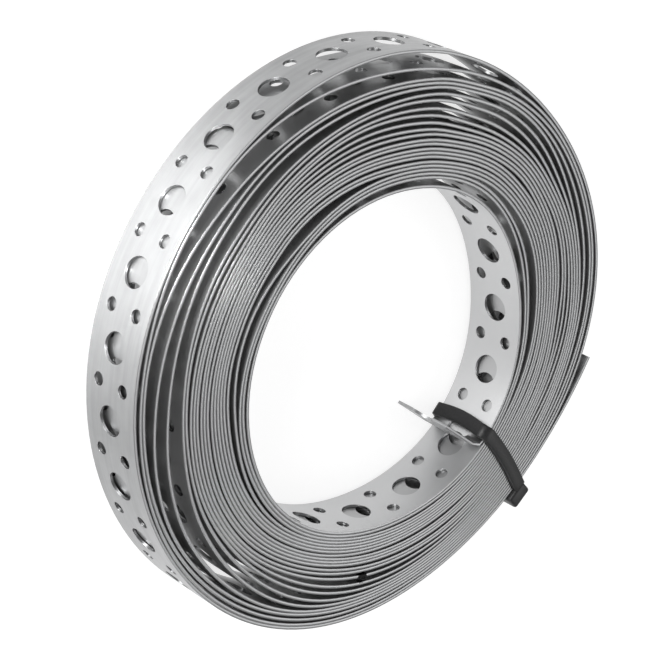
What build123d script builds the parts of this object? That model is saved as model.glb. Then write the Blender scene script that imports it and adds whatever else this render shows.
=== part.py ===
from build123d import *
import os
from bisect import bisect
from math import asin, atan, cos, degrees, hypot, radians, sin

# A roll of perforated steel strap, lying on its back end. Its axis is Z and +Z is
# its front end. Angles run from +X towards +Y. Sizes are millimetres and degrees.

# Strap section and its punched pattern: one big hole, then a pair of small ones
STRAP_WIDTH = 17.0
STRAP_THICKNESS = 0.75
HOLE_PITCH = 16.7
BIG_HOLE_DIAMETER = 7.0
SMALL_HOLE_DIAMETER = 3.0
SMALL_HOLE_SPACING = 8.5

# Roll: turns from the rim to the eye, spaced evenly by the packed pitch at the tie
TURNS = 23
PACKED_PITCH = 0.918
SEAM_ANGLE = -48.0

# Mean radii of the rim and of the eye's edge, and the waves round each of them: how
# many crests, how high, and the angle of a crest. The tie pulls both out of round.
RIM_RADIUS = 70.33
RIM_WAVES = ((2, 1.08, -27.2), (3, 0.81, -8.2), (4, 0.43, -10.5))
EYE_RADIUS = 42.33
EYE_WAVES = ((1, 5.34, -61.0), (2, 0.92, -56.2), (3, 0.53, -42.4), (4, 0.32, 45.0), (5, 0.21, 28.5))

# Where turns have sprung apart: the turn outside the gap, counted from the rim, the
# angles where the gap starts, is widest and ends, and how far it opens
GAPS = (
    (1, -44, -15, 34, 0.7),
    (1, 34, 86, 130, 3.2),
    (2, 27, 75, 105, 1.0),
    (2, 66, 120, 170, 4.3),
    (3, -44, -8, 60, 1.2),
    (3, 108, 155, 208, 2.8),
    (3, 180, 238, 295, 0.5),
    (4, -22, 14, 48, 1.0),
    (4, 70, 112, 160, 0.8),
    (4, 120, 174, 252, 2.6),
    (5, 8, 30, 130, 1.0),
    (5, 70, 138, 185, 2.4),
    (5, 138, 190, 268, 3.6),
    (6, 6, 41, 110, 1.0),
    (6, 95, 140, 175, 0.5),
    (6, 178, 229, 272, 1.3),
    (7, 24, 60, 125, 1.1),
    (7, 105, 155, 200, 0.8),
    (7, 203, 243, 280, 1.3),
    (8, -44, -30, 14, 0.6),
    (8, 20, 64, 107, 0.8),
    (8, 212, 248, 308, 0.9),
    (9, -42, -15, 20, 0.6),
    (9, 28, 84, 130, 0.8),
    (9, 215, 258, 308, 1.2),
    (10, 40, 84, 140, 0.7),
    (10, 217, 268, 308, 0.7),
    (11, -40, 0, 32, 0.6),
    (11, 55, 95, 145, 0.4),
    (12, 22, 97, 145, 0.5),
    (12, 206, 286, 308, 0.6),
    (14, 15, 95, 145, 0.3),
    (15, 236, 290, 308, 0.6),
    (17, 15, 100, 170, 0.4),
    (19, 79, 125, 163, 2.3),
    (19, 133, 172, 240, 1.1),
    (20, -44, -2, 63, 2.2),
    (20, 119, 155, 198, 1.9),
    (22, -42, 32, 92, 1.6),
)

# Gaps are cut from end to end where they open this far, and closed where under this
CLEAR_OPENING = 1.4
CLOSED_OPENING = 0.5
STATION_SPACING = 12.0

# Cable tie round all the turns, leaning back as it runs out from the eye
TIE_WIDTH = 3.6
TIE_THICKNESS = 1.2
TIE_CORNER = 1.1
TIE_CLEARANCE = 0.05
TIE_EYE_ANGLE = -45.94
TIE_LEAN = -58.4
HEAD_WIDTH = 6.2
HEAD_LENGTH = 6.6
HEAD_HEIGHT = 4.2
HEAD_CHAMFER = 0.8
HEAD_OFFSET = 1.4
HEAD_LEAN = -52.0
STUB_HEIGHT = 0.8

# The tie follows circles that fit the roll's outlines this far to each side of it
FITTED_STRETCH = 6.0

# Each end of the strap comes free this far past the side of the tie
OUTER_END_CLEARANCE = 2.4
INNER_END_CLEARANCE = 0.15

# Outer end: springs away from the roll, cut through a hole
TAIL_RADIUS = 106.0
TAIL_PITCHES = 2

# Inner end: bent sharply into the eye, cut through a hole
TONGUE_BEND_RADIUS = 2.2
TONGUE_HEADING = 138.0
TONGUE_PITCHES = 1

# Round punches take a pin; the other punches on the wound turns have few sides.
# Steps are half pitches from the cut end, odd at a pair and even at a big hole.
OUTER_ROUND_STEPS = (1, 2, 3, 23, 29, 35, 41)
INNER_ROUND_STEPS = ()
BIG_HOLE_SIDES = 8
SMALL_HOLE_SIDES = 6


def polar(radius, angle, centre=(0.0, 0.0)):
    """A point of the roll's section, by radius and angle about a centre."""
    return (
        centre[0] + radius * cos(radians(angle)),
        centre[1] + radius * sin(radians(angle)),
    )


def wave_radius(mean, waves, angle):
    """Mean radius with its waves, and the spiral's even growth of a pitch each turn."""
    spiral = PACKED_PITCH * (angle - SEAM_ANGLE) / 360
    return mean + spiral + sum(h * cos(radians(n * (angle - crest))) for n, h, crest in waves)


def rim_radius(angle):
    return wave_radius(RIM_RADIUS, RIM_WAVES, angle)


def eye_radius(angle):
    return wave_radius(EYE_RADIUS, EYE_WAVES, angle)


def opening(turn, angle):
    """How far the gap inside a turn stands open, from the list of gaps."""
    total = 0.0
    for outside, start, widest, end, most in GAPS:
        if outside == turn and start < angle < end:
            foot = start if angle < widest else end
            total += most * sin(radians(90 * (angle - foot) / (widest - foot))) ** 2
    return total


def slack(angle):
    """What is left between each two turns once the strap and the gaps are counted."""
    room = rim_radius(angle) - eye_radius(angle) - TURNS * STRAP_THICKNESS
    return (room - sum(opening(turn, angle) for turn in range(1, TURNS))) / (TURNS - 1)


def gap_radii(turn, angle):
    """Radii of the outer and inner side of the gap inside a turn."""
    above = sum(opening(k, angle) for k in range(1, turn)) + (turn - 1) * slack(angle)
    outer = rim_radius(angle) - turn * STRAP_THICKNESS - above
    return outer, outer - opening(turn, angle) - slack(angle)


def facing(radius_at, angle):
    """Outward direction of an outline at an angle of the roll."""
    rise = radius_at(angle + 0.5) - radius_at(angle - 0.5)
    return angle - degrees(atan(rise / radians(1.0) / radius_at(angle)))


# Outline values at the tie, and the sizes beside it
HALF = STRAP_THICKNESS / 2
BEYOND_TIE_OUTSIDE = TIE_WIDTH / 2 + OUTER_END_CLEARANCE
BEYOND_TIE_INSIDE = TIE_WIDTH / 2 + INNER_END_CLEARANCE
TIED_HALF_WIDTH = STRAP_WIDTH / 2 + TIE_CLEARANCE + TIE_THICKNESS
TIE_START = polar(eye_radius(TIE_EYE_ANGLE), TIE_EYE_ANGLE)


def tie_rim_angle():
    """Angle at which the tie's line from the eye meets the last stretch of the rim."""
    lean = radians(TIE_LEAN)
    miss = TIE_START[0] * sin(lean) - TIE_START[1] * cos(lean)
    return TIE_LEAN - degrees(asin(miss / rim_radius(TIE_EYE_ANGLE + 360)))


# Outer turn and its tail
TIE_RIM_ANGLE = tie_rim_angle()
TIE_RIM_RADIUS = rim_radius(TIE_RIM_ANGLE + 360)
TAIL_ANGLE = TIE_RIM_ANGLE + degrees(BEYOND_TIE_OUTSIDE / TIE_RIM_RADIUS)
TAIL_FACING = facing(rim_radius, TAIL_ANGLE + 360)
TAIL_START = polar(rim_radius(TAIL_ANGLE + 360) - HALF, TAIL_ANGLE)
TAIL_CENTRE = polar(-TAIL_RADIUS, TAIL_FACING, TAIL_START)
TAIL_LENGTH = TAIL_PITCHES * HOLE_PITCH
TAIL_SWEEP = degrees(TAIL_LENGTH / TAIL_RADIUS)

# Inner turn and its tongue
TONGUE_ANGLE = TIE_EYE_ANGLE - degrees(BEYOND_TIE_INSIDE / eye_radius(TIE_EYE_ANGLE))
TONGUE_FACING = facing(eye_radius, TONGUE_ANGLE)
BEND_START = polar(eye_radius(TONGUE_ANGLE) + HALF, TONGUE_ANGLE)
BEND_CENTRE = polar(-TONGUE_BEND_RADIUS, TONGUE_FACING, BEND_START)
BEND_SWEEP = TONGUE_FACING + 270 - TONGUE_HEADING
BEND_LENGTH = radians(BEND_SWEEP) * TONGUE_BEND_RADIUS
BEND_END = polar(TONGUE_BEND_RADIUS, TONGUE_FACING - BEND_SWEEP, BEND_CENTRE)
TONGUE_LENGTH = TONGUE_PITCHES * HOLE_PITCH - BEND_LENGTH


def turn_course(radius_at, start, way):
    """Angles and lengths, degree by degree, once round the middle of a turn."""
    angles = [start + way * step for step in range(361)]
    points = [polar(radius_at(angle), angle) for angle in angles]
    lengths = [0.0]
    for here, there in zip(points, points[1:]):
        lengths.append(lengths[-1] + hypot(there[0] - here[0], there[1] - here[1]))
    return angles, lengths


def outer_middle(angle):
    return rim_radius(angle) - HALF


def inner_middle(angle):
    return eye_radius(angle) + HALF


OUTER_COURSE = turn_course(outer_middle, TAIL_ANGLE + 360, -1)
INNER_COURSE = turn_course(inner_middle, TONGUE_ANGLE, 1)


def angle_along(course, length):
    """Angle reached on a turn after a length."""
    angles, lengths = course
    step = min(bisect(lengths, length), len(lengths) - 1)
    part = (length - lengths[step - 1]) / (lengths[step] - lengths[step - 1])
    return angles[step - 1] + part * (angles[step] - angles[step - 1])


def outer_place(length):
    """Middle surface point and outward angle on the outer turn, by length from the tip."""
    if length < TAIL_LENGTH:
        angle = TAIL_FACING + degrees((TAIL_LENGTH - length) / TAIL_RADIUS)
        return polar(TAIL_RADIUS, angle, TAIL_CENTRE), angle
    angle = angle_along(OUTER_COURSE, length - TAIL_LENGTH)
    return polar(outer_middle(angle), angle), facing(outer_middle, angle)


def inner_place(length):
    """Middle surface point and eyeward angle on the inner turn, by length from the tip."""
    if length < TONGUE_LENGTH:
        point = polar(TONGUE_LENGTH - length, TONGUE_HEADING, BEND_END)
        return point, TONGUE_HEADING - 90
    angle = angle_along(INNER_COURSE, length - TONGUE_LENGTH - BEND_LENGTH)
    return polar(inner_middle(angle), angle), facing(inner_middle, angle) + 180


def punch(place, outline, across=0.0):
    """A punch through one turn, down to the turn below it."""
    (x, y), angle = place
    direction = Vector(cos(radians(angle)), sin(radians(angle)), 0)
    foot = Vector(x, y, across) - direction * (PACKED_PITCH - HALF)
    depth = PACKED_PITCH + STRAP_THICKNESS
    return extrude(Plane(foot, z_dir=direction) * outline, depth)


def hole_outline(diameter, sides, is_round):
    """A round hole, or the same hole with few sides."""
    if is_round:
        return Circle(diameter / 2)
    return RegularPolygon(diameter / 2, sides)


def punches(place, length, round_steps):
    """The punched pattern along a path: a big hole each pitch, a small pair between."""
    cuts = []
    for step in range(int(length / HOLE_PITCH * 2) + 1):
        spot = place(step * HOLE_PITCH / 2)
        is_round = step in round_steps
        if step % 2 == 0:
            big = hole_outline(BIG_HOLE_DIAMETER, BIG_HOLE_SIDES, is_round)
            cuts.append(punch(spot, big))
            continue
        small = hole_outline(SMALL_HOLE_DIAMETER, SMALL_HOLE_SIDES, is_round)
        for side in (-1, 1):
            cuts.append(punch(spot, small, side * SMALL_HOLE_SPACING / 2))
    return cuts


def strip(centre, radius, start, sweep):
    """A stretch of strap seen from its edge, bent to a radius at its middle surface."""
    end = start + sweep
    outside = CenterArc(centre, radius + HALF, start, sweep)
    inside = CenterArc(centre, radius - HALF, start, sweep)
    first = Line(polar(radius - HALF, start, centre), polar(radius + HALF, start, centre))
    last = Line(polar(radius - HALF, end, centre), polar(radius + HALF, end, centre))
    return make_face(outside + inside + first + last)


def tongue_section():
    """The inner end seen from its edge: a sharp bend, then a flat tongue."""
    bend = strip(BEND_CENTRE, TONGUE_BEND_RADIUS, TONGUE_FACING, -BEND_SWEEP)
    middle = polar(TONGUE_LENGTH / 2, TONGUE_HEADING, BEND_END)
    flat = Pos(*middle) * Rot(Z=TONGUE_HEADING) * Rectangle(TONGUE_LENGTH, STRAP_THICKNESS)
    return bend + flat


def stations(start, end, spacing):
    """Evenly spaced angles from start to end, an even number of steps apart."""
    steps = 2 * max(1, round((end - start) / spacing / 2))
    return [start + (end - start) * k / steps for k in range(steps + 1)]


def arcs_through(points):
    """A line of arcs, each through a point and its next two."""
    triples = zip(points[::2], points[1::2], points[2::2])
    return Curve() + [ThreePointArc(*triple) for triple in triples]


def outline_face(radius_at, start):
    """All that lies inside an outline, with the step where its last turn meets its first."""
    points = [polar(radius_at(a), a) for a in stations(start, start + 360, STATION_SPACING)]
    return make_face(arcs_through(points) + Line(points[-1], points[0]))


def open_stretches(turn):
    """Start and end angles of each stretch where the gap inside a turn stands clear."""
    stretches = []
    start = None
    for angle in range(int(SEAM_ANGLE), int(SEAM_ANGLE) + 361):
        outer, inner = gap_radii(turn, angle)
        wide = outer - inner > CLOSED_OPENING
        if wide and start is None:
            start = angle
        if not wide and start is not None:
            stretches.append((start, angle))
            start = None
    return stretches


def gap_face(turn, start, end):
    """An open crescent between two turns, or nothing where it is too narrow to cut."""
    angles = stations(start, end, STATION_SPACING)
    sides = [gap_radii(turn, angle) for angle in angles]
    if max(outer - inner for outer, inner in sides) < CLEAR_OPENING:
        return None
    tips = [polar(sum(sides[k]) / 2, angles[k]) for k in (0, -1)]
    outer = [polar(side[0], angle) for side, angle in zip(sides, angles)][1:-1]
    inner = [polar(side[1], angle) for side, angle in zip(sides, angles)][1:-1]
    upper = arcs_through([tips[0], *outer, tips[1]])
    lower = arcs_through([tips[0], *inner, tips[1]])
    return make_face(upper + lower)


def coil_section():
    """The wound turns seen from the end, with the step at each end of the strap."""
    ring = outline_face(rim_radius, TAIL_ANGLE)
    ring -= outline_face(eye_radius, TONGUE_ANGLE)
    for turn in range(1, TURNS):
        for start, end in open_stretches(turn):
            gap = gap_face(turn, start, end)
            if gap is not None:
                ring -= gap
    return ring


def thick(section, width):
    """A section of the roll as a solid centred on the plane it is drawn in."""
    return Pos(Z=-width / 2) * extrude(section, width)


def make_strap():
    section = coil_section() + tongue_section()
    section += strip(TAIL_CENTRE, TAIL_RADIUS, TAIL_FACING, TAIL_SWEEP)
    outer_length = TAIL_LENGTH + OUTER_COURSE[1][-1] - HOLE_PITCH
    inner_length = TONGUE_LENGTH + BEND_LENGTH + INNER_COURSE[1][-1] - HOLE_PITCH
    cuts = punches(outer_place, outer_length, OUTER_ROUND_STEPS)
    cuts += punches(inner_place, inner_length, INNER_ROUND_STEPS)
    return thick(section, STRAP_WIDTH) - cuts


def circle_at(radius_at, angle):
    """Centre and radius of the circle that an outline follows near an angle."""
    near = [angle - FITTED_STRETCH, angle, angle + FITTED_STRETCH]
    near = [Vector(*polar(radius_at(place), place)) for place in near]
    arc = ThreePointArc(*near)
    return arc.arc_center, arc.radius


def envelope(grow):
    """The turns near the tie as a plain ring, grown on every side."""
    rim_centre, rim = circle_at(rim_radius, TIE_RIM_ANGLE + 360)
    eye_centre, eye = circle_at(eye_radius, TIE_EYE_ANGLE)
    outside = Pos(rim_centre.X, rim_centre.Y) * Circle(rim + grow)
    inside = Pos(eye_centre.X, eye_centre.Y) * Circle(eye - grow)
    return thick(outside - inside, STRAP_WIDTH + 2 * grow)


def make_tie_head():
    """The head sits on the rim beside the front corner, with the trimmed end above it."""
    centre = polar(TIE_RIM_RADIUS + TIE_CLEARANCE, TIE_RIM_ANGLE - HEAD_OFFSET)
    frame = Pos(centre[0], centre[1], TIED_HALF_WIDTH - HEAD_LENGTH / 2) * Rot(Z=HEAD_LEAN)
    block = Pos(X=HEAD_HEIGHT / 2) * Box(HEAD_HEIGHT, HEAD_WIDTH, HEAD_LENGTH)
    top = block.edges().group_by(Axis.X)[-1]
    block = chamfer(top, HEAD_CHAMFER)
    stub = Pos(X=HEAD_HEIGHT + STUB_HEIGHT / 2) * Box(STUB_HEIGHT, TIE_WIDTH, TIE_THICKNESS)
    return frame * (block + stub)


def make_cable_tie():
    loop = envelope(TIE_CLEARANCE + TIE_THICKNESS)
    loop = fillet(loop.edges().filter_by(GeomType.CIRCLE), TIE_CORNER)
    reach = TIE_RIM_RADIUS - eye_radius(TIE_EYE_ANGLE)
    middle = polar(reach / 2, TIE_LEAN, TIE_START)
    slice_of_ring = Pos(*middle) * Rot(Z=TIE_LEAN) * Rectangle(reach * 2, TIE_WIDTH)
    band = loop & thick(slice_of_ring, STRAP_WIDTH * 2)
    return (band + make_tie_head()) - envelope(TIE_CLEARANCE)


def main():
    nodes = {"strap": make_strap(), "cable_tie": make_cable_tie()}
    box = nodes["strap"].bounding_box()
    place = Pos(-box.center().X, -box.center().Y, TIED_HALF_WIDTH)
    os.makedirs("parts", exist_ok=True)
    for name, shape in nodes.items():
        export_step(place * shape, f"parts/{name}.step")


main()
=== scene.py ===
import math

import bmesh
import bpy
import numpy as np
from mathutils import Matrix, Vector

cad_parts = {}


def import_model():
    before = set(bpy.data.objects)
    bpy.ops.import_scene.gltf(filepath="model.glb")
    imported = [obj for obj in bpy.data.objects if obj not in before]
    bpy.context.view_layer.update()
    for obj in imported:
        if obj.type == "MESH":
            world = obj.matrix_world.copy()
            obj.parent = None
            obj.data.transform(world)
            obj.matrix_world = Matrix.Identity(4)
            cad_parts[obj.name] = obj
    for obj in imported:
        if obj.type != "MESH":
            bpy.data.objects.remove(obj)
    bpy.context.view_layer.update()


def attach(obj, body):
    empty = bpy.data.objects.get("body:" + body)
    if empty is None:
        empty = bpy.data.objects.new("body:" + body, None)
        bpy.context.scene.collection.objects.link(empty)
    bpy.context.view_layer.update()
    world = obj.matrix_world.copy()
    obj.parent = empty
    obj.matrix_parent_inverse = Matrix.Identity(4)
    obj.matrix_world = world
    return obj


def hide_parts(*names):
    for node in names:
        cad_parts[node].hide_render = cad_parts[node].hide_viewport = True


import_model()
MM = 0.001

# Strap and punched pattern, in millimetres as in the CAD model
WIDTH = 17.0
THICKNESS = 0.75
PITCH = 16.7
BIG_RADIUS = 3.5
SMALL_RADIUS = 1.5
SMALL_SPACING = 8.5

# The roll's own centre and its middle plane, in the frame of the part
COIL_X = -0.56
COIL_Y = -0.116
MIDDLE_Z = 9.75
ROLL_CENTRE = (COIL_X, COIL_Y, MIDDLE_Z)

# Turns from the rim to the eye, and the angle at which one turn passes into the next
TURNS = 23
PACKED_PITCH = 0.918
SEAM_ANGLE = -48.0

# Mean radii of the rim and of the eye, and the waves round each: how many crests, how
# high, and the angle of a crest
RIM_RADIUS = 70.33
RIM_WAVES = ((2, 1.08, -27.2), (3, 0.81, -8.2), (4, 0.43, -10.5))
EYE_RADIUS = 42.33
EYE_WAVES = ((1, 5.34, -61.0), (2, 0.92, -56.2), (3, 0.53, -42.4), (4, 0.32, 45.0), (5, 0.21, 28.5))

# Where turns have sprung apart: the turn outside the gap, counted from the rim, the
# angles where the gap starts, is widest and ends, and how far it opens
GAPS = (
    (1, -44, -15, 34, 0.7),
    (1, 34, 86, 130, 3.2),
    (2, 27, 75, 105, 1.0),
    (2, 66, 120, 170, 4.3),
    (3, -44, -8, 60, 1.2),
    (3, 108, 155, 208, 2.8),
    (3, 180, 238, 295, 0.5),
    (4, -22, 14, 48, 1.0),
    (4, 70, 112, 160, 0.8),
    (4, 120, 174, 252, 2.6),
    (5, 8, 30, 130, 1.0),
    (5, 70, 138, 185, 2.4),
    (5, 138, 190, 268, 3.6),
    (6, 6, 41, 110, 1.0),
    (6, 95, 140, 175, 0.5),
    (6, 178, 229, 272, 1.3),
    (7, 24, 60, 125, 1.1),
    (7, 105, 155, 200, 0.8),
    (7, 203, 243, 280, 1.3),
    (8, -44, -30, 14, 0.6),
    (8, 20, 64, 107, 0.8),
    (8, 212, 248, 308, 0.9),
    (9, -42, -15, 20, 0.6),
    (9, 28, 84, 130, 0.8),
    (9, 215, 258, 308, 1.2),
    (10, 40, 84, 140, 0.7),
    (10, 217, 268, 308, 0.7),
    (11, -40, 0, 32, 0.6),
    (11, 55, 95, 145, 0.4),
    (12, 22, 97, 145, 0.5),
    (12, 206, 286, 308, 0.6),
    (14, 15, 95, 145, 0.3),
    (15, 236, 290, 308, 0.6),
    (17, 15, 100, 170, 0.4),
    (19, 79, 125, 163, 2.3),
    (19, 133, 172, 240, 1.1),
    (20, -44, -2, 63, 2.2),
    (20, 119, 155, 198, 1.9),
    (22, -42, 32, 92, 1.6),
)

# Narrower gaps of the same kind, which the CAD model's turned ring leaves closed
NARROW_GAPS = (
    (1, 140, 168, 205, 0.75),
    (2, -44, -33, -10, 0.35),
    (2, 50, 64, 75, 0.4),
    (2, 185, 235, 305, 0.55),
    (3, 140, 170, 220, 0.3),
    (4, -44, -30, -12, 0.3),
    (5, 65, 120, 165, 0.5),
    (7, -44, -37, -22, 0.4),
    (7, 15, 38, 75, 0.4),
    (7, 90, 110, 135, 0.35),
    (7, 190, 210, 232, 0.3),
    (8, 120, 150, 185, 0.3),
    (10, -25, -12, 0, 0.5),
    (10, 145, 170, 200, 0.3),
    (11, 185, 230, 290, 0.3),
    (12, 140, 160, 180, 0.3),
    (13, -44, -28, -8, 0.35),
    (13, 100, 180, 260, 0.25),
    (14, 20, 34, 48, 0.4),
    (16, -44, -30, -5, 0.35),
    (16, 190, 230, 280, 0.25),
    (18, -44, -25, 0, 0.35),
    (18, 120, 165, 200, 0.25),
    (19, 110, 124, 138, 0.3),
    (20, -44, -31, -12, 0.35),
    (20, 182, 212, 245, 0.5),
    (21, -10, 12, 35, 0.35),
    (21, 250, 285, 307, 0.45),
    (22, -42, -20, 0, 0.4),
    (22, 140, 170, 215, 0.4),
)

# Where the last turn bows into the eye: the angles of start, crest and end, and how far
EYE_TURN_BOW = (30, 95, 150, 1.1)

# Where the tie crosses the turns, and each end of the strap beside it: how far from the tie
# it comes free, its bend and its length
TIE_HALF_WIDTH = 1.8
TIE_EYE_ANGLE = -45.94
TIE_LEAN = -58.4
OUTER_END_CLEARANCE = 2.4
INNER_END_CLEARANCE = 0.15
TAIL_RADIUS = 106.0
TAIL_LENGTH = 2 * PITCH
TONGUE_BEND_RADIUS = 2.2
TONGUE_HEADING = 138.0
TONGUE_WITH_BEND = PITCH

# How finely the strap's course is stepped: points for each degree of the turns, and points
# of the tail, of the tongue's bend and of its flat end
POINTS_PER_DEGREE = 4
TAIL_POINTS = 120
BEND_POINTS = 40
TONGUE_POINTS = 60


def point(radius, angle, centre=(0.0, 0.0)):
    """The point at a distance from a centre, in the direction of an angle in degrees."""
    a = math.radians(angle)
    return np.array((centre[0] + radius * math.cos(a), centre[1] + radius * math.sin(a)))


def wave_radius(mean, waves, angle):
    """Mean radius with its waves, and the spiral's even growth of a pitch each turn."""
    spiral = PACKED_PITCH * (angle - SEAM_ANGLE) / 360
    heights = [high * np.cos(np.radians(crests * (angle - crest))) for crests, high, crest in waves]
    return mean + spiral + sum(heights)


def rim_radius(angle):
    return wave_radius(RIM_RADIUS, RIM_WAVES, angle)


def eye_radius(angle):
    return wave_radius(EYE_RADIUS, EYE_WAVES, angle)


def facing(radius_at, angle):
    """Outward direction of an outline at an angle of the roll."""
    span = 1.0
    rise = radius_at(angle + span / 2) - radius_at(angle - span / 2)
    return angle - math.degrees(math.atan(rise / math.radians(span) / radius_at(angle)))


def swell(angles, start, widest, end, most):
    """A smooth rise from nothing at the start to the most, and back to nothing at the end."""
    foot = np.where(angles < widest, start, end)
    part = np.clip((angles - foot) / (widest - foot), 0, 1)
    return most * np.sin(np.radians(90 * part)) ** 2


def opening(turn, angles):
    """How far the gap inside a turn stands open, from the lists of gaps."""
    own = [gap[1:] for gap in GAPS + NARROW_GAPS if gap[0] == turn]
    return sum((swell(angles, *gap) for gap in own), np.zeros(len(angles)))


def turn_radius(turn, angles):
    """Radius of the middle surface of a turn, counted from the rim."""
    rim, eye = rim_radius(angles), eye_radius(angles)
    gaps = [opening(k, angles) for k in range(1, TURNS)]
    slack = (rim - eye - TURNS * THICKNESS - sum(gaps)) / (TURNS - 1)
    middle = rim - (turn - 0.5) * THICKNESS - (turn - 1) * slack - sum(gaps[: turn - 1])
    return middle - swell(angles, *EYE_TURN_BOW) if turn == TURNS else middle


# Where the tie crosses the eye's edge, how far its line misses the roll's centre, where it
# crosses the rim, and where each end of the strap comes free beside it
TIE_EYE_RADIUS = eye_radius(TIE_EYE_ANGLE)
TIE_EYE = point(TIE_EYE_RADIUS, TIE_EYE_ANGLE)
TIE_WAY = point(1.0, TIE_LEAN)
TIE_MISS = TIE_EYE[0] * TIE_WAY[1] - TIE_EYE[1] * TIE_WAY[0]
TIE_RIM_ANGLE = TIE_LEAN - math.degrees(math.asin(TIE_MISS / rim_radius(TIE_EYE_ANGLE + 360)))
TIE_RIM_RADIUS = rim_radius(TIE_RIM_ANGLE + 360)
TAIL_ANGLE = TIE_RIM_ANGLE + math.degrees((TIE_HALF_WIDTH + OUTER_END_CLEARANCE) / TIE_RIM_RADIUS)
TONGUE_ANGLE = TIE_EYE_ANGLE - math.degrees((TIE_HALF_WIDTH + INNER_END_CLEARANCE) / TIE_EYE_RADIUS)


def tail_points():
    """The outer end, springing away from the roll, from its tip to the rim."""
    turned = facing(rim_radius, TAIL_ANGLE + 360)
    start = point(rim_radius(TAIL_ANGLE + 360) - THICKNESS / 2, TAIL_ANGLE)
    centre = point(-TAIL_RADIUS, turned, start)
    sweep = math.degrees(TAIL_LENGTH / TAIL_RADIUS)
    return [point(TAIL_RADIUS, turned + a, centre) for a in np.linspace(sweep, 0, TAIL_POINTS)]


def wound_points():
    """All the turns, from the rim to the eye."""
    start, end = TONGUE_ANGLE, 360 * TURNS + TAIL_ANGLE
    angles = np.linspace(end, start, int((end - start) * POINTS_PER_DEGREE))[1:]
    whole_turns = np.clip((angles - SEAM_ANGLE) // 360, 0, TURNS - 1)
    points = []
    for turn in range(1, TURNS + 1):
        inside = TURNS - turn
        own = angles[whole_turns == inside] - 360 * inside
        radius, way = turn_radius(turn, own), np.radians(own)
        points.append(np.stack((radius * np.cos(way), radius * np.sin(way)), 1))
    return np.concatenate(points)


def tongue_points(start):
    """The inner end: a sharp bend into the eye, then a flat tongue to its tip."""
    turned = facing(eye_radius, TONGUE_ANGLE)
    centre = point(-TONGUE_BEND_RADIUS, turned, start)
    sweep = turned + 270 - TONGUE_HEADING
    turns = np.linspace(0, sweep, BEND_POINTS)[1:]
    bend = [point(TONGUE_BEND_RADIUS, turned - a, centre) for a in turns]
    flat = TONGUE_WITH_BEND - math.radians(sweep) * TONGUE_BEND_RADIUS
    ways = np.linspace(0, flat, TONGUE_POINTS)[1:]
    return bend + [point(way, TONGUE_HEADING, bend[-1]) for way in ways]


def strap_path():
    """Points of the strap's middle surface from the tip of the tail to the tongue's tip."""
    turns = wound_points()
    return np.concatenate((tail_points(), turns, tongue_points(turns[-1])))


class Course:
    """Place and outward direction along the strap, by length from the tail's tip."""

    def __init__(self, points):
        steps = np.diff(points, axis=0)
        self.points = points
        self.lengths = np.concatenate(([0], np.cumsum(np.hypot(steps[:, 0], steps[:, 1]))))
        self.middles = (self.lengths[1:] + self.lengths[:-1]) / 2
        self.headings = np.unwrap(np.arctan2(steps[:, 1], steps[:, 0]))
        self.length = float(self.lengths[-1])

    def at(self, along):
        x = np.interp(along, self.lengths, self.points[:, 0])
        y = np.interp(along, self.lengths, self.points[:, 1])
        heading = np.interp(along, self.middles, self.headings)
        return x, y, -np.sin(heading), np.cos(heading)


# A cell is half a pitch of flat strap, with a big hole or a pair of small ones. At each end
# it has a column of points across the strap, which it shares with the next cell. The other
# points of its border stand one sixth of its length from its middle, and a cut goes through
# its middle.
ACROSS = (-WIDTH / 2, -WIDTH / 4, 0.0, WIDTH / 4, WIDTH / 2)
COLUMN = len(ACROSS)
SHARED = 2 * COLUMN
BORDER_PARTS = 6

# How far the two skins lie from the strap's middle surface. The corners of a face lie on
# the outward skin, on the inward skin or between them.
SKINS = (-THICKNESS / 2, THICKNESS / 2)
OUTWARD, INWARD, BETWEEN = 1, -1, 0

# Sides of a hole for each step of its cell's border, from the coarsest to the finest. The
# finest ones also have rims that roll over. Fine holes reach this far from the tail's tip
# and from the tongue's tip.
COARSE, FINE, FINEST = 1, 2, 3
ROLLOVER = 0.1
FINE_FROM_TAIL = 2700
FINE_FROM_TONGUE = 1150
FINEST_FROM_TAIL = 490
FINEST_FROM_TONGUE = 310

# How far the normals along a sheared edge turn towards the skins
EDGE_ROUNDING = 0.6


def fineness(along, length):
    """Most sides where a hole is looked at closely: both ends, the first and last turn."""
    if along < FINEST_FROM_TAIL or along > length - FINEST_FROM_TONGUE:
        return FINEST
    if along < FINE_FROM_TAIL or along > length - FINE_FROM_TONGUE:
        return FINE
    return COARSE


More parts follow.
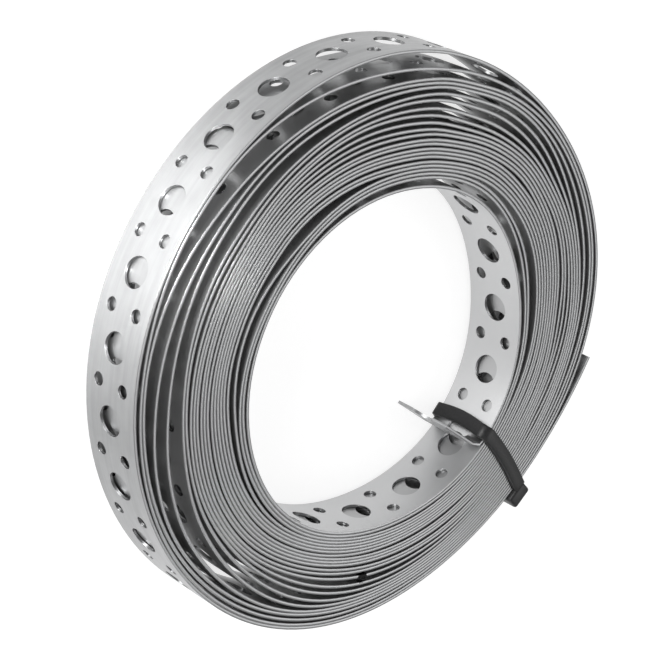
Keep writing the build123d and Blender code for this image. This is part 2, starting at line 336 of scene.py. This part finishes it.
class Cell:
    """Flat points (along, across) on both skins, deep points between them, and faces.

    A face is a list of corners, each the number of a point and the skin that it is on, and
    a list of their normals.
    """

    def __init__(self, span, sides):
        self.sides = sides
        self.step = span / BORDER_PARTS
        self.left = list(range(COLUMN))
        self.right = list(range(COLUMN, SHARED))
        self.flat = [(end * span / 2, across) for end in (-1, 1) for across in ACROSS]
        self.deep = []
        self.faces = []
        self.normals = []

    def add(self, points):
        """New points on both skins, by their numbers."""
        first = len(self.flat)
        self.flat += points
        return list(range(first, len(self.flat)))

    def add_edge_points(self, behind):
        """Two points on the top edge and two on the bottom edge, in order round the cell."""
        top = self.add([(self.step, WIDTH / 2), (behind, WIDTH / 2)])
        bottom = self.add([(behind, -WIDTH / 2), (self.step, -WIDTH / 2)])
        return top, bottom

    def face(self, corners, normals):
        self.faces.append(corners)
        self.normals.append(normals)

    def skin(self, corners):
        """The same patch on the outward and on the inward side of the strap."""
        count = len(corners)
        self.face([(i, OUTWARD) for i in corners[::-1]], [(0, 0, 1)] * count)
        self.face([(i, INWARD) for i in corners], [(0, 0, -1)] * count)

    def fill(self, ring, loop):
        """Patches between a run of border points and a finer run of points round a hole."""
        for k, (a, b) in enumerate(zip(ring, ring[1:])):
            run = loop[k * self.sides : (k + 1) * self.sides + 1]
            if self.sides > COARSE:
                self.skin([a, run[1], run[0]])
                self.skin([b, run[-1], run[-2]])
                run = run[1:-1]
            if len(run) > 1:
                self.skin([a, b, run[1], run[0]])
            else:
                self.skin([a, b, run[0]])

    def hole(self, ring, radius, across=0.0):
        """A whole hole inside a closed ring of border points."""
        count = len(ring) * self.sides
        angles = [2 * math.pi * k / count for k in range(count)]
        circle = [(math.cos(a), math.sin(a)) for a in angles]
        mouth = radius + ROLLOVER if self.sides == FINEST else radius
        loop = self.add([(mouth * c, across + mouth * s) for c, s in circle])
        ring, loop, circle = ring + ring[:1], loop + loop[:1], circle + circle[:1]
        self.fill(ring, loop)
        if self.sides == FINEST:
            self.rolled_wall(loop, circle, radius, across)
        else:
            self.plain_wall(loop, circle)

    def half_hole(self, ring):
        """The cut end: half a big hole between two straight cuts."""
        count = (len(ring) - 1) * self.sides
        angles = [math.pi * (k / count - 0.5) for k in range(count + 1)]
        circle = [(math.cos(a), math.sin(a)) for a in angles]
        loop = self.add([(BIG_RADIUS * c, BIG_RADIUS * s) for c, s in circle])
        self.fill(ring, loop)
        self.plain_wall(loop, circle)
        self.sheared([loop[0], ring[0]], (-1, 0))
        self.sheared([ring[-1], loop[-1]], (-1, 0))

    def plain_wall(self, loop, circle):
        """A hole's wall, straight from one skin to the other."""
        to_middle = [(-c, -s, 0) for c, s in circle]
        for i, j, a, b in zip(loop, loop[1:], to_middle, to_middle[1:]):
            self.face([(i, INWARD), (j, INWARD), (j, OUTWARD), (i, OUTWARD)], [a, b, b, a])

    def rolled_wall(self, loop, circle, radius, across):
        """A hole's wall with rims that roll over into both skins."""
        depth = THICKNESS / 2 - ROLLOVER
        low = self.deep_ring(circle, radius, across, -depth)
        high = self.deep_ring(circle, radius, across, depth)
        to_middle = [(-c, -s, 0) for c, s in circle]
        out, back = (0, 0, 1), (0, 0, -1)
        for k in range(len(loop) - 1):
            i, j = loop[k], loop[k + 1]
            a, b = to_middle[k], to_middle[k + 1]
            self.face([low[k], low[k + 1], high[k + 1], high[k]], [a, b, b, a])
            self.face([(i, INWARD), (j, INWARD), low[k + 1], low[k]], [back, back, b, a])
            self.face([high[k], high[k + 1], (j, OUTWARD), (i, OUTWARD)], [a, b, out, out])

    def deep_ring(self, circle, radius, across, outward):
        """A closed ring of points on a hole's wall, between the skins."""
        first = len(self.deep)
        self.deep += [(radius * c, across + radius * s, outward) for c, s in circle[:-1]]
        ring = [(i, BETWEEN) for i in range(first, len(self.deep))]
        return ring + ring[:1]

    def sheared(self, run, way):
        """A sheared edge, its corners turned a little towards the skins."""
        out = (*way, EDGE_ROUNDING)
        back = (*way, -EDGE_ROUNDING)
        for i, j in zip(run, run[1:]):
            self.face([(i, OUTWARD), (j, OUTWARD), (j, INWARD), (i, INWARD)], [out, out, back, back])

    def long_edges(self, top, bottom):
        """The two sheared edges of a cell that has a neighbour at each end."""
        self.sheared([self.right[-1], *top, self.left[-1]], (0, 1))
        self.sheared([self.left[0], *bottom, self.right[0]], (0, -1))

    def compiled(self, mirrored=False):
        """Vertex rows, and faces as sizes, vertex numbers and normals."""
        flip = -1 if mirrored else 1
        rows = [(along * flip, across, w) for along, across in self.flat for w in SKINS]
        rows += [(along * flip, across, w) for along, across, w in self.deep]
        base = 2 * len(self.flat)
        sizes, corners, normals = [], [], []
        for face, normal in zip(self.faces, self.normals):
            numbers = [base + i if side == BETWEEN else 2 * i + (side == OUTWARD) for i, side in face]
            normal = [(a * flip, b, c) for a, b, c in normal]
            if mirrored:
                numbers, normal = numbers[::-1], normal[::-1]
            sizes.append(len(numbers))
            corners += numbers
            normals += normal
        return np.array(rows), np.array(sizes), np.array(corners), np.array(normals, float)


def tip_cell(span, sides):
    """The strap's cut end, which has a neighbour at its right only."""
    cell = Cell(span, sides)
    top, bottom = cell.add_edge_points(0.0)
    cell.half_hole([*bottom, *cell.right, *top])
    cell.sheared([cell.right[-1], *top], (0, 1))
    cell.sheared([*bottom, cell.right[0]], (0, -1))
    return cell


def big_cell(span, sides):
    """A cell with one big hole, its border counted from the middle of its right end."""
    cell = Cell(span, sides)
    top, bottom = cell.add_edge_points(-cell.step)
    cell.hole([*cell.right[2:], *top, *cell.left[::-1], *bottom, *cell.right[:2]], BIG_RADIUS)
    cell.long_edges(top, bottom)
    return cell


def pair_cell(span, sides):
    """A cell with two small holes, parted by points along its middle."""
    cell = Cell(span, sides)
    left, right = cell.left, cell.right
    top, bottom = cell.add_edge_points(-cell.step)
    middle = cell.add([(cell.step, 0.0), (-cell.step, 0.0)])
    upper = [*right[3:], *top, *left[:1:-1], *middle[::-1], right[2]]
    lower = [right[1], right[2], *middle, *left[2::-1], *bottom, right[0]]
    cell.hole(upper, SMALL_RADIUS, SMALL_SPACING / 2)
    cell.hole(lower, SMALL_RADIUS, -SMALL_SPACING / 2)
    cell.long_edges(top, bottom)
    return cell


def strap_cells(length):
    """The whole strap laid flat: vertex rows, and faces as sizes, corners and normals."""
    last = 2 * round(length / PITCH)
    span = length / last
    kinds = {}
    for sides in (COARSE, FINE, FINEST):
        kinds["big", sides] = big_cell(span, sides).compiled()
        kinds["pair", sides] = pair_cell(span, sides).compiled()
    tip = tip_cell(span, FINEST)
    tips = {0: tip.compiled(), last: tip.compiled(mirrored=True)}
    column = [(across, w) for across in ACROSS for w in SKINS]
    rows = [np.array([((k + 0.5) * span, across, w) for across, w in column]) for k in range(last)]
    count = SHARED * last
    sizes, corners, normals = [], [], []
    for k in range(last + 1):
        along = k * span
        kind = "pair" if k % 2 else "big"
        local, size, corner, normal = tips.get(k) or kinds[kind, fineness(along, length)]
        columns = (k, k - 1) if k == last else (k - 1, k)
        numbers = [SHARED * c + np.arange(SHARED) for c in columns]
        own = local[2 * SHARED :]
        numbers.append(count + np.arange(len(own)))
        count += len(own)
        rows.append(own + (along, 0, 0))
        sizes.append(size)
        corners.append(np.concatenate(numbers)[corner])
        normals.append(normal)
    return [np.concatenate(parts) for parts in (rows, sizes, corners, normals)]


def rolled_up(course, rows, corners, normals):
    """Places of the flat strap's vertices on the roll, and the normals at its corners."""
    x, y, out_x, out_y = course.at(rows[:, 0])
    w = rows[:, 2]
    places = np.stack((x + out_x * w + COIL_X, y + out_y * w + COIL_Y, rows[:, 1] + MIDDLE_Z), 1) * MM
    along, across, outward = normals.T
    out_x, out_y = out_x[corners], out_y[corners]
    turned = np.stack((out_y * along + out_x * outward, -out_x * along + out_y * outward, across), 1)
    turned /= np.linalg.norm(turned, axis=1)[:, None]
    return places, turned


def strap_mesh(course):
    """The whole wound strap as one mesh: two skins, hole walls, slit edges, cut tips."""
    rows, sizes, corners, normals = strap_cells(course.length)
    places, turned = rolled_up(course, rows, corners, normals)
    mesh = bpy.data.meshes.new("strap_wound")
    mesh.vertices.add(len(places))
    mesh.vertices.foreach_set("co", places.ravel())
    mesh.loops.add(len(corners))
    mesh.loops.foreach_set("vertex_index", corners.astype(np.int32))
    mesh.polygons.add(len(sizes))
    starts = np.concatenate(([0], np.cumsum(sizes)[:-1]))
    mesh.polygons.foreach_set("loop_start", starts.astype(np.int32))
    mesh.update(calc_edges=True)
    flat_place = mesh.attributes.new("along_strap", "FLOAT_VECTOR", "POINT")
    flat_place.data.foreach_set("vector", (rows * MM).ravel())
    mesh.validate()
    mesh.polygons.foreach_set("use_smooth", np.ones(len(sizes), bool))
    mesh.normals_split_custom_set([tuple(normal) for normal in turned])
    return mesh


# Cable tie: the band's thickness, its gap to the turns, how wide its outer and inner edges
# are rounded, and the share of that by which the middle of an outer one is set back
TIE_THICKNESS = 1.2
TIE_GAP = 0.05
BAND_OUTER_ROUND = 0.34
BAND_INNER_ROUND = 0.12
ROUND_MIDDLE = 0.3

# How the band turns a front corner of the turns: its middle line's bend, how far it
# stands off the side wall there, and how far it bows over the front and along the eye
FRONT_BEND = 2.0
FRONT_STAND_OFF = 1.0
BACK_BEND = 0.78
FRONT_BOW = 0.6
EYE_BOW = 0.7
CORNER_STEPS = 8
STRAND_STEPS = 10

# The head on the rim: the direction in which it stands out, and the degrees of the rim from
# the band to it. Then the head, its collar and the trimmed end: height, width and length,
# rounding, and how high above the rim and how far along the head its middle lies.
HEAD_LEAN = -52.0
HEAD_OFFSET = 1.4
HEAD_SIZE = (4.2, 6.2, 6.6)
HEAD_ROUNDING = 0.75
COLLAR_SIZE = (0.5, 4.7, 2.6)
COLLAR_HEIGHT = 4.15
COLLAR_ROUNDING = 0.12
TRIMMED_END_SIZE = (0.9, 3.5, 1.15)
TRIMMED_END_HEIGHT = 4.55
TRIMMED_END_ROUNDING = 0.1
COLLAR_ALONG = 0.2

# Edges of the tie that turn by more degrees than this stay sharp
SHARP_ANGLE = 50


def corner(foot, first, second, bend, first_off, second_off):
    """Middle points and directions where the band turns from one way to the next."""
    centre = foot + first * (first_off - bend) + second * (second_off - bend)
    turned = []
    for k in range(CORNER_STEPS + 1):
        a = math.radians(90 * k / CORNER_STEPS)
        way = first * math.cos(a) + second * math.sin(a)
        turned.append((centre + way * bend, way))
    return turned


def strand(start, end, way, bow):
    """Middle points between two corners, bowed sideways where the band is slack."""
    (first, out), (last, _) = start, end
    parts = np.linspace(0, 1, STRAND_STEPS + 1)[1:-1]
    bows = [way * bow * math.sin(math.pi * part) for part in parts]
    return [(first + (last - first) * part + aside, out) for part, aside in zip(parts, bows)]


def tie_stations():
    """Middle points and outward directions of the band, once round the turns."""
    up = np.array((0.0, 0.0, 1.0))
    eye_facing = facing(eye_radius, TIE_EYE_ANGLE)
    rim_facing = facing(rim_radius, TIE_RIM_ANGLE + 360)
    eye, rim = np.append(TIE_EYE, 0), np.append(point(TIE_RIM_RADIUS, TIE_RIM_ANGLE), 0)
    eye_out, rim_out = np.append(-point(1, eye_facing), 0), np.append(point(1, rim_facing), 0)
    along_turns = np.append(point(1, eye_facing + 90), 0)
    snug = TIE_GAP + TIE_THICKNESS / 2
    stand = snug + FRONT_STAND_OFF
    front, back = up * WIDTH / 2, -up * WIDTH / 2
    eye_front = corner(eye + front, eye_out, up, FRONT_BEND, stand, snug)
    rim_front = corner(rim + front, up, rim_out, FRONT_BEND, snug, stand)
    rim_back = corner(rim + back, rim_out, -up, BACK_BEND, snug, snug)
    eye_back = corner(eye + back, -up, eye_out, BACK_BEND, snug, snug)
    over_front = strand(eye_front[-1], rim_front[0], along_turns, FRONT_BOW)
    along_eye = strand(eye_back[-1], eye_front[0], along_turns, EYE_BOW)
    stations = eye_front + over_front + rim_front + rim_back + eye_back + along_eye
    return [np.array(column) for column in zip(*stations)]


def band_profile():
    """The band's section (sideways, outward): rounded outer edges, eased inner ones."""
    side, out = TIE_HALF_WIDTH, TIE_THICKNESS / 2
    turned = BAND_OUTER_ROUND * ROUND_MIDDLE
    half = [
        (side - BAND_INNER_ROUND, -out),
        (side, -out + BAND_INNER_ROUND),
        (side, out - BAND_OUTER_ROUND),
        (side - turned, out - turned),
        (side - BAND_OUTER_ROUND, out),
    ]
    other = [(-p, q) for p, q in half[::-1]]
    return other[-2:] + half + other[:-2]


def tie_band():
    """The band's vertices and faces: one profile carried along its middle line."""
    centres, outs = tie_stations()
    ahead = np.roll(centres, -1, 0) - np.roll(centres, 1, 0)
    wide = np.cross(ahead, outs)
    wide /= np.linalg.norm(wide, axis=1)[:, None]
    outs = np.cross(wide, ahead)
    outs /= np.linalg.norm(outs, axis=1)[:, None]
    profile = band_profile()
    verts, faces = [], []
    for centre, out, side in zip(centres, outs, wide):
        verts += [tuple((centre + side * p + out * q + ROLL_CENTRE) * MM) for p, q in profile]
    stations, sides = len(centres), len(profile)
    for i in range(stations):
        here, there = i * sides, (i + 1) % stations * sides
        for j in range(sides):
            after = (j + 1) % sides
            faces.append((here + j, here + after, there + after, there + j))
    return verts, faces


def rounded_box(bm, size, centre, rounding, segments):
    """A box with rounded edges, added to the mesh that is being built."""
    made = bmesh.ops.create_cube(bm, size=1.0)["verts"]
    for v in made:
        v.co = Vector([c * s + o for c, s, o in zip(v.co, size, centre)])
    edges = list(dict.fromkeys(e for v in made for e in v.link_edges))
    bmesh.ops.bevel(
        bm,
        geom=edges,
        offset=rounding,
        segments=segments,
        profile=0.5,
        affect="EDGES",
        clamp_overlap=True,
    )


def tie_head():
    """The head over the rim, its collar and the trimmed end that comes out of it."""
    bm = bmesh.new()
    height, _, length = HEAD_SIZE
    collar = (COLLAR_HEIGHT, 0, COLLAR_ALONG)
    trimmed_end = (TRIMMED_END_HEIGHT, 0, COLLAR_ALONG)
    rounded_box(bm, HEAD_SIZE, (height / 2, 0, 0), HEAD_ROUNDING, segments=3)
    rounded_box(bm, COLLAR_SIZE, collar, COLLAR_ROUNDING, segments=2)
    rounded_box(bm, TRIMMED_END_SIZE, trimmed_end, TRIMMED_END_ROUNDING, segments=2)
    rim = point(TIE_RIM_RADIUS + TIE_GAP, TIE_RIM_ANGLE - HEAD_OFFSET)
    place = Matrix.Translation((rim[0] + COIL_X, rim[1] + COIL_Y, 2 * MIDDLE_Z - length / 2))
    turn = Matrix.Rotation(math.radians(HEAD_LEAN), 4, "Z")
    bm.transform(Matrix.Scale(MM, 4) @ place @ turn)
    return bm


def tie_mesh():
    """The head and the band as one mesh, smooth but for its sharp edges."""
    bm = tie_head()
    verts, faces = tie_band()
    made = [bm.verts.new(v) for v in verts]
    for f in faces:
        bm.faces.new([made[i] for i in f])
    bmesh.ops.recalc_face_normals(bm, faces=bm.faces)
    for f in bm.faces:
        f.smooth = True
    mesh = bpy.data.meshes.new("cable_tie_shape")
    bm.to_mesh(mesh)
    bm.free()
    mesh.set_sharp_from_angle(angle=math.radians(SHARP_ANGLE))
    return mesh


class Nodes:
    """A material's node tree, and short ways to add to it."""

    def __init__(self, name):
        self.material = bpy.data.materials.new(name)
        self.material.use_nodes = True
        self.tree = self.material.node_tree
        self.shader = self.tree.nodes["Principled BSDF"]

    def new(self, kind, **values):
        """A new node. Each value is for its property of that name, or else for its input."""
        node = self.tree.nodes.new(kind)
        for key, value in values.items():
            if hasattr(node, key):
                setattr(node, key, value)
            else:
                self.feed(node.inputs[key.replace("_", " ")], value)
        return node

    def feed(self, socket, value):
        """Link the output of another node to a socket, or set the socket's own value."""
        if isinstance(value, bpy.types.NodeSocket):
            self.tree.links.new(value, socket)
        else:
            socket.default_value = value

    def shade(self, **values):
        """Values or outputs for the inputs of the material's main shader."""
        for key, value in values.items():
            self.feed(self.shader.inputs[key.replace("_", " ")], value)

    def noise(self, vector, scale, detail, stretch=(1, 1, 1)):
        """Noise at a place, with more or fewer steps of detail, stretched along an axis."""
        mapping = self.new("ShaderNodeMapping", Scale=stretch, Vector=vector)
        noise = self.new("ShaderNodeTexNoise", Scale=scale, Detail=detail, Roughness=0.6)
        self.feed(noise.inputs["Vector"], mapping.outputs[0])
        return noise.outputs["Fac"]

    def spread(self, value, low, high, start=0.3, end=0.7):
        """A value from low to high while another goes from start to end."""
        spans = {"From_Min": start, "From_Max": end, "To_Min": low, "To_Max": high}
        return self.new("ShaderNodeMapRange", Value=value, **spans).outputs["Result"]

    def mix(self, factor, first, second):
        """A colour between two others, each a plain colour or another node's output."""
        node = self.new("ShaderNodeMix", data_type="RGBA", Factor=factor, A=first, B=second)
        return node.outputs["Result"]

    def math(self, operation, *values):
        node = self.new("ShaderNodeMath", operation=operation)
        for socket, value in zip(node.inputs, values):
            self.feed(socket, value)
        return node.outputs[0]

    def blend(self, first, second, share):
        """One value by its share, and another by the rest of it."""
        first = self.math("MULTIPLY", first, share)
        second = self.math("MULTIPLY", second, 1 - share)
        return self.math("ADD", first, second)

    def any_of(self, first, *others):
        """One where any of some masks is one."""
        for mask in others:
            first = self.math("MAXIMUM", first, mask)
        return first

    def bump(self, height, strength, distance):
        node = self.new("ShaderNodeBump", Strength=strength, Distance=distance, Height=height)
        self.shade(Normal=node.outputs["Normal"])


# Colours of the steel: the rolled grain of what lies open, from dark to light, the wall of
# the eye in a painted light, the sheared edges, and the faces between turns in a painted shade
GRAIN_DARK = (0.31, 0.313, 0.316, 1)
GRAIN_LIGHT = (0.41, 0.413, 0.417, 1)
EYE_WALL_PAINTED_LIGHT = (0.58, 0.583, 0.587, 1)
EDGE_COLOUR = (0.36, 0.363, 0.367, 1)
BETWEEN_TURNS_PAINTED_SHADE = (0.45, 0.452, 0.455, 1)

# Lengths of strap that lie open; the faces between turns, which don't, take a painted shade.
# The outer wall's colour fades out this far from the tail's tip, and the eye's painted light
# fades in this far from the tongue's tip. The two loose ends lie open on both faces.
OUTER_WALL_FADE = (905, 925)
EYE_WALL_FADE = (298, 290)
LOOSE_TAIL = 34
LOOSE_TONGUE = 18

# Shares of the half thickness and of the half width beyond which a point is on a skin or on
# a sheared edge
ON_SKIN = 0.96
ON_EDGE = 0.999

# The steel's roughness from dark to light grain, how far its highlights are drawn out and
# which way, its bump, and the share of rolled lines in its tone and in its bump
STEEL_ROUGHNESS = (0.40, 0.33)
STEEL_ANISOTROPY = 0.6
STEEL_ANISOTROPY_TURN = 0.25
STEEL_BUMP = 0.12
STEEL_BUMP_DEPTH = 0.00004
ROLLED_TONE = 0.45
ROLLED_BUMP = 0.6

# A small black mark painted across turns, low on the front: its place by angle, distance
# from the roll's centre and height, its size and how ragged it is
MARK_ANGLE = -96.7
MARK_FROM_CENTRE = 59.9
MARK_HEIGHT = 17.9
MARK_RADIUS = 1.6
MARK_RAGGEDNESS = 1.2
BLACK_MARK_COLOUR = (0.012, 0.012, 0.012, 1)

# The nylon's two tones, its roughness from the one to the other, its sheen and its bump
NYLON_DARK = (0.010, 0.010, 0.0105, 1)
NYLON_LIGHT = (0.018, 0.018, 0.0185, 1)
NYLON_ROUGHNESS = (0.34, 0.44)
NYLON_SHEEN = 0.28
NYLON_BUMP = 0.15
NYLON_BUMP_DEPTH = 0.00005


def steel_with_painted_light_and_shade(n, place, grain, length):
    """The steel's colour, painted light and shade on each face, from the place on the flat strap."""
    along, across, outward = n.new("ShaderNodeSeparateXYZ", Vector=place).outputs
    skin = THICKNESS / 2 * MM * ON_SKIN
    outer_turns = n.spread(along, 1, 0, *(far * MM for far in OUTER_WALL_FADE))
    last_turn = n.spread(along, 0, 1, *((length - far) * MM for far in EYE_WALL_FADE))
    outer_wall = n.math("MULTIPLY", n.math("GREATER_THAN", outward, skin), outer_turns)
    eye_wall = n.math("MULTIPLY", n.math("LESS_THAN", outward, -skin), last_turn)
    edge = n.math("GREATER_THAN", n.math("ABSOLUTE", across), WIDTH / 2 * MM * ON_EDGE)
    cut = n.math("LESS_THAN", n.math("ABSOLUTE", outward), skin)
    tail = n.math("LESS_THAN", along, LOOSE_TAIL * MM)
    tongue = n.math("GREATER_THAN", along, (length - LOOSE_TONGUE) * MM)
    lies_open = n.any_of(outer_wall, eye_wall, edge, cut, tail, tongue)
    colour = n.mix(n.spread(grain, 0, 1), GRAIN_DARK, GRAIN_LIGHT)
    # Painted light: the wall of the eye is made lighter than the rest of the steel
    colour = n.mix(eye_wall, colour, EYE_WALL_PAINTED_LIGHT)
    colour = n.mix(edge, colour, EDGE_COLOUR)
    # Painted shade: faces that lie between turns take a tone of their own, for the shade there
    return n.mix(lies_open, BETWEEN_TURNS_PAINTED_SHADE, colour)


def with_black_mark(n, colour, ragged):
    """A colour with the black mark on it, whose outline a noise makes ragged."""
    x, y = point(MARK_FROM_CENTRE, MARK_ANGLE, (COIL_X, COIL_Y))
    away = n.new("ShaderNodeVectorMath", operation="DISTANCE")
    n.feed(away.inputs[0], n.new("ShaderNodeTexCoord").outputs["Object"])
    n.feed(away.inputs[1], Vector((x, y, MARK_HEIGHT)) * MM)
    least = (MARK_RADIUS - MARK_RAGGEDNESS / 2) * MM
    reach = n.math("ADD", n.math("MULTIPLY", ragged, MARK_RAGGEDNESS * MM), least)
    return n.mix(n.math("LESS_THAN", away.outputs["Value"], reach), colour, BLACK_MARK_COLOUR)


def steel_material(length):
    """Rolled, galvanised strip: lines along the strap, soft clouds and a fine bump."""
    n = Nodes("galvanised_strap")
    place = n.new("ShaderNodeAttribute", attribute_name="along_strap").outputs["Vector"]
    rolled = n.noise(place, scale=90.0, detail=4.0, stretch=(0.35, 9.0, 1.0))
    cloud = n.noise(place, scale=120.0, detail=3.0, stretch=(0.6, 1.0, 1.0))
    fine = n.noise(place, scale=2600.0, detail=2.0)
    grain = n.blend(rolled, cloud, ROLLED_TONE)
    n.shade(
        Base_Color=with_black_mark(n, steel_with_painted_light_and_shade(n, place, grain, length), fine),
        Roughness=n.spread(grain, *STEEL_ROUGHNESS),
        Metallic=1.0,
        Anisotropic=STEEL_ANISOTROPY,
        Anisotropic_Rotation=STEEL_ANISOTROPY_TURN,
    )
    n.bump(n.blend(rolled, fine, ROLLED_BUMP), STEEL_BUMP, STEEL_BUMP_DEPTH)
    return n.material


def nylon_material():
    """Black nylon, satin, with a fine grain."""
    n = Nodes("black_nylon")
    place = n.new("ShaderNodeTexCoord").outputs["Object"]
    grain = n.noise(place, scale=1500.0, detail=3.0)
    n.shade(
        Base_Color=n.mix(n.spread(grain, 0, 1), NYLON_DARK, NYLON_LIGHT),
        Roughness=n.spread(grain, *NYLON_ROUGHNESS),
        Specular_IOR_Level=NYLON_SHEEN,
    )
    n.bump(grain, NYLON_BUMP, NYLON_BUMP_DEPTH)
    return n.material


def add_piece(name, mesh, node, material):
    """A piece on the roll's body that stands for a node of the CAD model."""
    mesh.materials.append(material)
    piece = bpy.data.objects.new(name, mesh)
    bpy.context.scene.collection.objects.link(piece)
    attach(piece, "root")
    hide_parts(node)


# The floor's half side, the share of light that it gives back and its own glow, and the
# strength of the white world
FLOOR_REACH = 3.0
FLOOR_ALBEDO = 0.4
FLOOR_GLOW = 0.76
WORLD_STRENGTH = 0.4

# The photograph's camera, fitted to points of the photo and turned with the roll as it lies
# on its back end: its place from the roll's centre, and the way to its right and its back
CAMERA_PLACE = (-0.2899, 0.2167, 0.3250)
CAMERA_RIGHT = (0.7462, 0.0, 0.6657)
CAMERA_BACK = (-0.5961, 0.4454, 0.6682)
CAMERA_LENS = 113.13
CAMERA_SENSOR = 36.0
CAMERA_SHIFT = (-0.042, 0.0041)
CAMERA_RANGE = (0.01, 20)

# The spot lamp's own radius, and how much of its pool of light fades
SPOT_RADIUS = 0.02
SPOT_FADE = 0.8


def floor():
    """A pale floor that keeps the object's shadow and glows in the camera and in mirrors."""
    mesh = bpy.data.meshes.new("floor")
    e = FLOOR_REACH
    mesh.from_pydata([(-e, -e, 0), (e, -e, 0), (e, e, 0), (-e, e, 0)], [], [(0, 1, 2, 3)])
    n = Nodes("pale_floor")
    albedo = (FLOOR_ALBEDO, FLOOR_ALBEDO, FLOOR_ALBEDO, 1)
    n.shade(Base_Color=albedo, Roughness=0.9, Specular_IOR_Level=0.0)
    path = n.new("ShaderNodeLightPath")
    seen = n.math("ADD", path.outputs["Is Camera Ray"], path.outputs["Is Glossy Ray"])
    seen = n.math("ADD", seen, path.outputs["Is Transmission Ray"])
    strength = n.math("MULTIPLY", n.math("MINIMUM", seen, 1.0), FLOOR_GLOW)
    glow = n.new("ShaderNodeEmission", Strength=strength)
    both = n.new("ShaderNodeAddShader")
    n.feed(both.inputs[0], n.shader.outputs[0])
    n.feed(both.inputs[1], glow.outputs[0])
    n.feed(n.tree.nodes["Material Output"].inputs["Surface"], both.outputs[0])
    mesh.materials.append(n.material)
    obj = bpy.data.objects.new("floor", mesh)
    bpy.context.scene.collection.objects.link(obj)


def lamp(name, kind, place, aim, power):
    """A lamp at a place, turned to what it lights."""
    data = bpy.data.lights.new(name, kind)
    data.energy = power
    obj = bpy.data.objects.new(name, data)
    obj.location = place
    obj.rotation_euler = (Vector(aim) - Vector(place)).to_track_quat("-Z", "Y").to_euler()
    bpy.context.scene.collection.objects.link(obj)
    return data


def area_light(name, place, aim, power, width, height=None):
    """A square card of light, or a low wide one where a height is given."""
    data = lamp(name, "AREA", place, aim, power)
    data.size = width
    if height:
        data.shape = "RECTANGLE"
        data.size_y = height


def spot_light(name, place, aim, power, reach):
    """A soft round pool of light on the floor, seen in the side wall beside it."""
    data = lamp(name, "SPOT", place, aim, power)
    data.shadow_soft_size = SPOT_RADIUS
    data.spot_size = 2 * math.atan(reach / (Vector(aim) - Vector(place)).length)
    data.spot_blend = SPOT_FADE


def world():
    made = bpy.data.worlds.new("studio")
    made.use_nodes = True
    made.node_tree.nodes["Background"].inputs["Color"].default_value = (1, 1, 1, 1)
    made.node_tree.nodes["Background"].inputs["Strength"].default_value = WORLD_STRENGTH
    bpy.context.scene.world = made


def camera():
    """The photograph's view of the roll."""
    back = Vector(CAMERA_BACK).normalized()
    up = back.cross(Vector(CAMERA_RIGHT).normalized()).normalized()
    data = bpy.data.cameras.new("camera")
    data.lens = CAMERA_LENS
    data.sensor_width = CAMERA_SENSOR
    data.shift_x, data.shift_y = CAMERA_SHIFT
    data.clip_start, data.clip_end = CAMERA_RANGE
    obj = bpy.data.objects.new("camera", data)
    turn = Matrix((up.cross(back), up, back)).transposed().to_4x4()
    place = [own + centre * MM for own, centre in zip(CAMERA_PLACE, ROLL_CENTRE)]
    obj.matrix_world = Matrix.Translation(place) @ turn
    bpy.context.scene.collection.objects.link(obj)
    bpy.context.scene.camera = obj


# The two pieces, then the floor, the light and the camera
course = Course(strap_path())
add_piece("strap_roll", strap_mesh(course), "strap", steel_material(course.length))
add_piece("tie_loop", tie_mesh(), "cable_tie", nylon_material())

floor()
world()
area_light("key", place=(-0.33, 0.24, 0.11), aim=(0, 0, 0.01), power=2.2, width=0.36, height=0.2)
area_light("side", place=(-0.20, -0.36, 0.12), aim=(0, 0, 0.01), power=0.65, width=0.3, height=0.2)
spot_light("glint", place=(-0.2, 0.15, 0.35), aim=(-0.084, 0.063, 0), power=19.0, reach=0.055)
area_light("fill", place=(0.9, -0.4, 1.4), aim=(0, 0, 0), power=8, width=1.2)
camera()

view = bpy.context.scene.view_settings
view.view_transform = "Standard"
